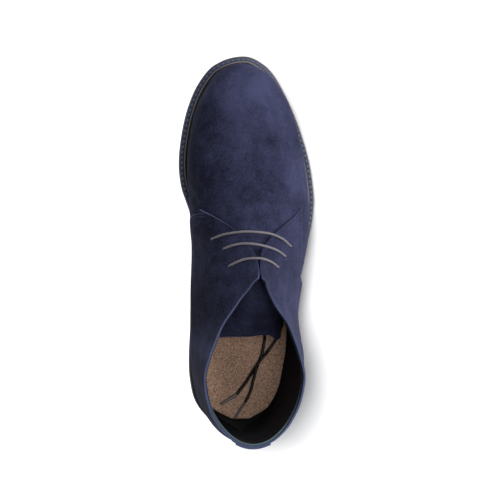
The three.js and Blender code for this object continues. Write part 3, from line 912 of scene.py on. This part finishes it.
# The laces: plan points over the facings, and free ends in mm
laceBars = [[(127.5, 12.6), (129.7, 3.2), (130.5, -3.4), (130.2, -13), (128.5, -23), (124.4, -31.7)],
            [(120.2, 6.4), (121.8, 0), (122.1, -7.2), (120.7, -16.1), (116.9, -26.3)],
            [(108.6, 4), (111.1, -1.6), (112.2, -8), (111.9, -14.6), (108.9, -21.7)]]
laceEnds = {
    "inner": [(106.8, 7.7, 85.3), (106.2, 6.5, 84.1), (105.5, 5.4, 82.6), (104.8, 5.2, 80.2), (103.3, 6, 76),
              (99.5, 7, 70), (92.5, 5.5, 64), (84, 1.5, 58), (74, -5, 52), (64, -12, 46), (54, -18, 39.5),
              (46, -21.8, 33.4), (40, -23.3, 29.8), (33, -22.3, 29.5), (26, -20.9, 29.8), (16.7, -17.3, 30.2),
              (6.9, -14.3, 30.6), (-1.9, -12.2, 30.95), (-8, -9.7, 31.2), (-13.3, -6.9, 31.45)],
    "outer": [(104.1, -26.4, 88.2), (103.8, -25.2, 87.3), (103.4, -24, 86.1), (102.7, -23.5, 84.3),
              (101.9, -24.2, 82), (100.4, -26.8, 78.5), (97, -30, 72.5), (90, -33.5, 64), (80, -36, 55),
              (68, -37, 46.8), (56, -36.5, 40), (46, -35.2, 33.2), (39, -32.8, 29.7), (34, -29.8, 29.4),
              (29.2, -26.3, 30), (26, -23.5, 31.4), (22.5, -20.4, 32.3), (18.5, -17.3, 32.5),
              (14.5, -14.7, 32.2), (9.5, -11.6, 31.4), (4, -8.1, 31), (-1.5, -4, 31.1), (-6.3, -0.4, 31.3)],
}
agletTips = {"inner": (-26.1, 2, 32.2), "outer": (-13.6, 12.6, 32)}
lace = {"radius": 0.95, "endRadius": 1.2, "braid": 0.07, "agletRadius": 1.15}


def tubeAlong(points, radiusAt, around, perMm):  # a closed round tube along points in mm
    fine = [Vector(alongRows(points, i / 24)) for i in range((len(points) - 1) * 24 + 1)]
    length = sum((b - a).length for a, b in zip(fine, fine[1:]))
    count = max(int(length * perMm), 6)
    spine = evenRun(fine, count + 1, closed=False)
    frames, side = [], None
    for i, point in enumerate(spine):
        along = (spine[min(i + 1, count)] - spine[max(i - 1, 0)]).normalized()
        side = (Vector((0.13, 0.2, 1)) if side is None else side)
        side = (side - along * side.dot(along)).normalized()
        frames.append((point, side, along.cross(side)))

    def place(u, v):
        i = round(v * count)
        point, a, b = frames[i]
        turn = 2 * pi * u
        radius = radiusAt(turn, i / count, length) if 0 < i < count else 0
        return (point + (a * math.cos(turn) + b * math.sin(turn)) * radius) * mm
    bm = sheetFrom(place, around, count, None, (1, length))
    bmesh.ops.recalc_face_normals(bm, faces=bm.faces)
    return bm, spine, length


def braided(turn, share, length, radius=None):
    run = share * length * 2 * pi / 2.1
    weave = math.cos(4 * turn + run) * math.cos(4 * turn - run)
    ends = min(share * length / 0.5, (1 - share) * length / 0.5, 1)
    return (radius or lace["radius"]) * (1 + lace["braid"] * weave) * math.sqrt(max(ends, 0.2))


def braidedEnd(turn, share, length):
    return braided(turn, share, length, lace["endRadius"])


def makeLaces():
    barMaterial = laceMaterial("laceBar", (0.185, 0.168, 0.182), (0.070, 0.063, 0.073), 0.7)
    endMaterial = laceMaterial("laceEnd", (0.0018, 0.0018, 0.0026), (0.0036, 0.0036, 0.0052), 0.38)
    tip = plainMaterial("agletTip", (0.045, 0.043, 0.045), 0.28)
    for i, bar in enumerate(laceBars):
        inner, outer = laceHoles[1][i], laceHoles[-1][i]
        path = [overQuarter(*inner, -2.0), overQuarter(*inner, 0.4)]
        path += [overQuarter(*p, quarterProud + 1.05) for p in bar]
        path += [overQuarter(*outer, 0.9), overQuarter(*outer, -2.0)]
        bm, _, length = tubeAlong([tuple(p / mm) for p in path], braided, 16, 2.4)
        print("lace bar", i + 1, round(length, 1), "mm")
        finishPiece(objectFrom(bm, f"laceBar{i + 1}", [barMaterial]), "lace", f"lace_bar_{i + 1}")
    for name, points in laceEnds.items():
        bm, spine, length = tubeAlong(points, braidedEnd, 14, 2.0)
        piece = finishPiece(objectFrom(bm, f"laceEnd_{name}", [endMaterial]), "dark_lace", f"lace_end_{name}")
        end, point = Vector(agletTips[name]), Vector(points[-1])
        start = point.lerp(end, -0.03)

        def shell(turn, share, run):
            return lace["agletRadius"] * (0.9 + 0.1 * math.cos(share * 0.6)) * (1 if share < 0.97 else 0.6)
        shaft = tubeAlong([tuple(start), tuple(start.lerp(end, 0.5)), tuple(end)], shell, 14, 2.0)[0]
        aglet = finishPiece(objectFrom(shaft, f"aglet_{name}", [tip]), "lace_tip", f"aglet_{name}")
        print("lace end", name, round(length, 1), "mm")


# Stitches on the upper: half sizes and distances in mm
seams = {"pitch": 2.7, "bead": (0.95, 0.24, 0.20), "sidePitch": 2.3, "sideBead": (0.95, 0.30, 0.22)}
seamRows = {1: [(141.8, 0.50), (141, 0.60), (139.5, 0.68), (136, 0.76), (129.5, 0.84), (121.5, 0.92),
                (115, 0.97)],
            -1: [(142.5, 0.475), (130, 0.468), (120, 0.472), (110, 0.492), (100, 0.532), (94, 0.572),
                 (88, 0.64), (82, 0.78), (77, 0.97)]}  # x and share f of the first stitched row
seamDrift = {1: 0.0, -1: 1.0}  # whether the second row lies above the first or behind it


def stitchRow(bm, spots, lift, pitch=None, bead=None, index=0):
    # small stitches along (row, share) spots, at even distances
    points = []
    for t, f in spots:
        turn = turnAt(t, f)
        point, out = formPoint(t, turn), formNormal(t, turn)
        points.append((point + out * (lift + quarterLift(point)), out))
    pitch, bead = pitch or seams["pitch"], bead or seams["bead"]
    run = 0
    for (a, out), (b, _) in zip(points, points[1:]):
        gap = (b - a).length
        while run < gap:
            share = run / gap if gap else 0
            along = (b - a).normalized()
            out = (out - along * out.dot(along)).normalized()
            turn = Matrix((along, out.cross(along), out)).transposed()
            addBead(bm, a.lerp(b, share) * mm, turn, bead, index, 6)
            run += pitch
        run -= gap


def makeStitches():
    thread = plainMaterial("seamThread", (0.016, 0.018, 0.045), 0.7)
    pale = plainMaterial("seamThreadPale", (0.048, 0.056, 0.115), 0.7)
    bm = bmesh.new()
    for side in (1, -1):
        facing = [quarterSpot(side, 0.024 + 0.016 * i / 60, 0.02 + 0.93 * i / 60) for i in range(61)]
        stitchRow(bm, facing, quarterProud + 0.02)
        collar = [quarterSpot(side, 0.04 + 0.93 * i / 60, 0.968) for i in range(61)]
        stitchRow(bm, collar, quarterProud + 0.02)
        for shift, index in ((0, 1), (1, 0)):
            seam = []
            for x, f in [alongRows(seamRows[side], i / 8) for i in range((len(seamRows[side]) - 1) * 8 + 1)]:
                f, x = side * (f - 0.020 * shift * seamDrift[side]), x - 2.2 * shift * (1 - seamDrift[side])
                seam.append((crossing(lambda t: x - bare(t, f).x, 5, 14), f))
            stitchRow(bm, seam, quarterProud + 0.03, seams["sidePitch"], seams["sideBead"], index)
    for side in (-strip["seamShare"], strip["seamShare"]):
        row = []
        for i in range(40):
            height = i / 39
            t = strip["seamFrom"] + strip["seamRows"] * height
            y = strip["middle"] - strip["lean"] * height + side * stripHalf(height)
            row.append((t, heelShare(t, y, 18)))
        stitchRow(bm, row, strip["lift"] + 0.02)
    finishPiece(objectFrom(bm, "seamStitches", [thread, pale]), "suede")
    bm = bmesh.new()
    places = [tonguePoint(i / 200, tongue["stitchAt"], 0.05) for i in range(6, 195)]
    run = 0.0
    for a, b in zip(places, places[1:]):
        run += (b - a).length / mm
        if run < seams["pitch"]:
            continue
        run = 0
        along = (b - a).normalized()
        out = Vector((0.5, 0, 0.8))
        out = (out - along * out.dot(along)).normalized()
        addBead(bm, b, Matrix((along, out.cross(along), out)).transposed(), seams["bead"], 0, 6)
    finishPiece(objectFrom(bm, "tongueStitches", [thread]), "suede")
    print("stitches made")


# Materials
def nodeMaker(name):
    material = bpy.data.materials.new(name)
    material.use_nodes = True
    tree = material.node_tree
    shader = tree.nodes["Principled BSDF"]

    def add(kind, links=(), **settings):
        node = tree.nodes.new("ShaderNode" + kind)
        for key, value in settings.items():
            if key in node.inputs:
                node.inputs[key].default_value = value
            else:
                setattr(node, key, value)
        for source, target in links:
            tree.links.new(source, node.inputs[target])
        return node
    return material, tree, shader, add


def plainMaterial(name, colour, rough, grain=0.0):
    material, tree, shader, add = nodeMaker(name)
    shader.inputs["Base Color"].default_value = (*colour, 1)
    shader.inputs["Roughness"].default_value = rough
    if grain:
        place = add("TexCoord")
        spots = add("TexNoise", [(place.outputs["Object"], "Vector")], Scale=900.0, Detail=3.0)
        bump = add("Bump", [(spots.outputs["Fac"], "Height")], Strength=0.4, Distance=grain)
        tree.links.new(bump.outputs["Normal"], shader.inputs["Normal"])
    return material


def suedeMaterial(name, dark, light, cloud=1.0):
    # brushed suede: soft clouds where the nap lies differently, a fine grain and a dusty sheen; a painted
    # point attribute adds painted light and shade, partly nap clouds
    material, tree, shader, add = nodeMaker(name)
    place = add("TexCoord").outputs["Object"]
    wide = add("TexNoise", [(place, "Vector")], Scale=24.0, Detail=3.0, Roughness=0.55, Distortion=0.8)
    middle = add("TexNoise", [(place, "Vector")], Scale=110.0, Detail=4.0, Roughness=0.6)
    fine = add("TexNoise", [(place, "Vector")], Scale=620.0, Detail=5.0, Roughness=0.8)
    # painted light and shade from the mesh, partly nap clouds: lighter on the outer side and toe, darker on
    # the inner side
    napAndShading = add("Attribute", attribute_name="napAndShading")
    total = None
    for source, share, middleAt in ((wide, 1.0 * cloud, 0.5), (middle, 0.7, 0.5), (fine, 1.35, 0.5),
                                    (napAndShading, 1.0 * cloud, 0.0)):
        part = add("Math", [(source.outputs["Fac"], 0)], operation="SUBTRACT")
        part.inputs[1].default_value = middleAt
        scaled = add("Math", [(part.outputs[0], 0)], operation="MULTIPLY")
        scaled.inputs[1].default_value = share
        if total is None:
            total = scaled
            continue
        total = add("Math", [(total.outputs[0], 0), (scaled.outputs[0], 1)], operation="ADD")
    lift = add("Math", [(total.outputs[0], 0)], operation="ADD", use_clamp=True)
    lift.inputs[1].default_value = 0.44
    mix = add("Mix", [(lift.outputs[0], 0)], data_type="RGBA")
    mix.inputs[6].default_value = (*dark, 1)
    mix.inputs[7].default_value = (*light, 1)
    tree.links.new(mix.outputs[2], shader.inputs["Base Color"])
    bump = add("Bump", [(fine.outputs["Fac"], "Height")], Strength=0.35, Distance=0.0004)
    tree.links.new(bump.outputs["Normal"], shader.inputs["Normal"])
    shader.inputs["Roughness"].default_value = 1.0
    shader.inputs["Specular IOR Level"].default_value = 0.05
    shader.inputs["Sheen Weight"].default_value = 0.04
    shader.inputs["Sheen Roughness"].default_value = 0.45
    shader.inputs["Sheen Tint"].default_value = (0.55, 0.55, 0.85, 1)
    return material


def corkMaterial():
    material, tree, shader, add = nodeMaker("corkFootbed")
    place = add("TexCoord").outputs["Object"]
    grain = add("TexNoise", [(place, "Vector")], Scale=950.0, Detail=4.0, Roughness=0.75)
    chips = add("TexVoronoi", [(place, "Vector")], Scale=1300.0, Randomness=1.0)
    ramp = add("ValToRGB", [(grain.outputs["Fac"], 0)])
    ramp.color_ramp.elements[0].position = 0.30
    ramp.color_ramp.elements[0].color = (0.075, 0.042, 0.029, 1)
    ramp.color_ramp.elements[1].position = 0.66
    ramp.color_ramp.elements[1].color = (0.60, 0.40, 0.29, 1)
    tint = add("ValToRGB", [(chips.outputs["Color"], 0)])
    tint.color_ramp.elements[0].color = (0.50, 0.45, 0.42, 1)
    tint.color_ramp.elements[1].color = (1.25, 1.2, 1.15, 1)
    mix = add("Mix", [(ramp.outputs["Color"], 6), (tint.outputs["Color"], 7)], data_type="RGBA",
              blend_type="MULTIPLY")
    mix.inputs[0].default_value = 0.75
    # painted shade: the cork is darkened towards the heel, down to 0.62 at the back, deep inside the boot
    axes = add("SeparateXYZ", [(place, 0)])
    back = add("MapRange", [(axes.outputs["X"], 0)])
    for i, value in enumerate((-0.035, 0.04, 0.62, 1.0)):
        back.inputs[i + 1].default_value = value
    heelShade = add("Mix", [(mix.outputs[2], 6), (back.outputs[0], 7)], data_type="RGBA", blend_type="MULTIPLY")
    heelShade.inputs[0].default_value = 1
    tree.links.new(heelShade.outputs[2], shader.inputs["Base Color"])
    bump = add("Bump", [(grain.outputs["Fac"], "Height")], Strength=0.3, Distance=0.0004)
    tree.links.new(bump.outputs["Normal"], shader.inputs["Normal"])
    shader.inputs["Roughness"].default_value = 0.85
    shader.inputs["Specular IOR Level"].default_value = 0.2
    return material


def rampedMaterial(name, axis, between, back, front, rough):
    # plain, going from one colour to another along an axis
    material, tree, shader, add = nodeMaker(name)
    axes = add("SeparateXYZ", [(add("TexCoord").outputs["Object"], 0)])
    share = add("MapRange", [(axes.outputs[axis], 0)])
    share.inputs[1].default_value, share.inputs[2].default_value = between
    mix = add("Mix", [(share.outputs[0], 0)], data_type="RGBA")
    mix.inputs[6].default_value = (*back, 1)
    mix.inputs[7].default_value = (*front, 1)
    tree.links.new(mix.outputs[2], shader.inputs["Base Color"])
    shader.inputs["Roughness"].default_value = rough
    shader.inputs["Specular IOR Level"].default_value = 0.10
    return material


def laceMaterial(name, colour, shade, rough):
    material, tree, shader, add = nodeMaker(name)
    place = add("TexCoord").outputs["Object"]
    spots = add("TexNoise", [(place, "Vector")], Scale=1300.0, Detail=2.0)
    mix = add("Mix", [(spots.outputs["Fac"], 0)], data_type="RGBA")
    mix.inputs[6].default_value = (*shade, 1)
    mix.inputs[7].default_value = (*colour, 1)
    tree.links.new(mix.outputs[2], shader.inputs["Base Color"])
    shader.inputs["Roughness"].default_value = rough
    shader.inputs["Specular IOR Level"].default_value = 0.22
    return material


# Lighter and darker places, partly nap clouds and partly painted light and shade (lighter on the outer side
# and the toe, darker on the inner side): x, y, radius (mm), strength
napAndShadingPlaces = [(246, -24, 20, 0.42), (233, -3, 20, 0.62), (200, -24, 24, -0.05), (182, -38, 15, 0.25),
             (165, -50, 18, 0.36), (135, -40, 16, 0.14), (95, -40, 24, 0.26), (222, -44, 18, 0.28),
             (201, 26, 26, -0.28), (212, 3, 10, 0.08), (160, 34, 26, -0.30), (165, -8, 22, -0.10),
             (120, -46, 16, 0.15), (50, -50, 34, 0.30), (10, 42, 30, -0.60), (60, 46, 22, -0.35),
             (80, 38, 26, -0.30), (42, 24, 13, 0.40), (12, 24, 10, 0.30), (125, 36, 22, -0.25),
             (256, 8, 16, -0.12), (95, 12, 16, 0.06), (235, 22, 18, -0.15)]
# painted shade: the back strip darker all over, like the shaded heel
stripShade = [(-38, -4, 60, -0.22)]
# painted shade near the throat and the curled outer corner, painted light towards the tongue's end
tongueShading = [(99, -14, 20, -0.14), (58, -36, 13, -0.38), (60, 12, 11, -0.10), (51, 0, 8, 0.14),
             (70, -8, 18, 0.14)]


def paintNapAndShading(piece, places=napAndShadingPlaces):
    # writes the lighter and darker places, partly painted light and shade, into a point attribute
    mesh = piece.data
    napAndShading = mesh.attributes.new("napAndShading", "FLOAT", "POINT")
    values = []
    for vert in mesh.vertices:
        x, y = vert.co.x / mm, vert.co.y / mm
        values.append(sum(k * math.exp(-((x - a) ** 2 + (y - b) ** 2) / r ** 2) for a, b, r, k in places))
    napAndShading.data.foreach_set("value", values)


makeCamera()
makeStage()
# the second copy colours the cut edges paler: partly the raw edge's own colour, partly painted highlight
# where the edges catch the light
leather = (suedeMaterial("napAndShading", (0.0042, 0.0048, 0.0110), (0.037, 0.040, 0.083)),
           suedeMaterial("cutEdgeAndHighlight", (0.030, 0.038, 0.080), (0.066, 0.080, 0.150), 0.3))
for part in makeUpper(*leather):
    paintNapAndShading(part)
makeStrip(*leather)
makeTongue(*leather)
makeWelt()
makeOutsole()
makeFootbed()
makeLaces()
makeStitches()
makeLamps()
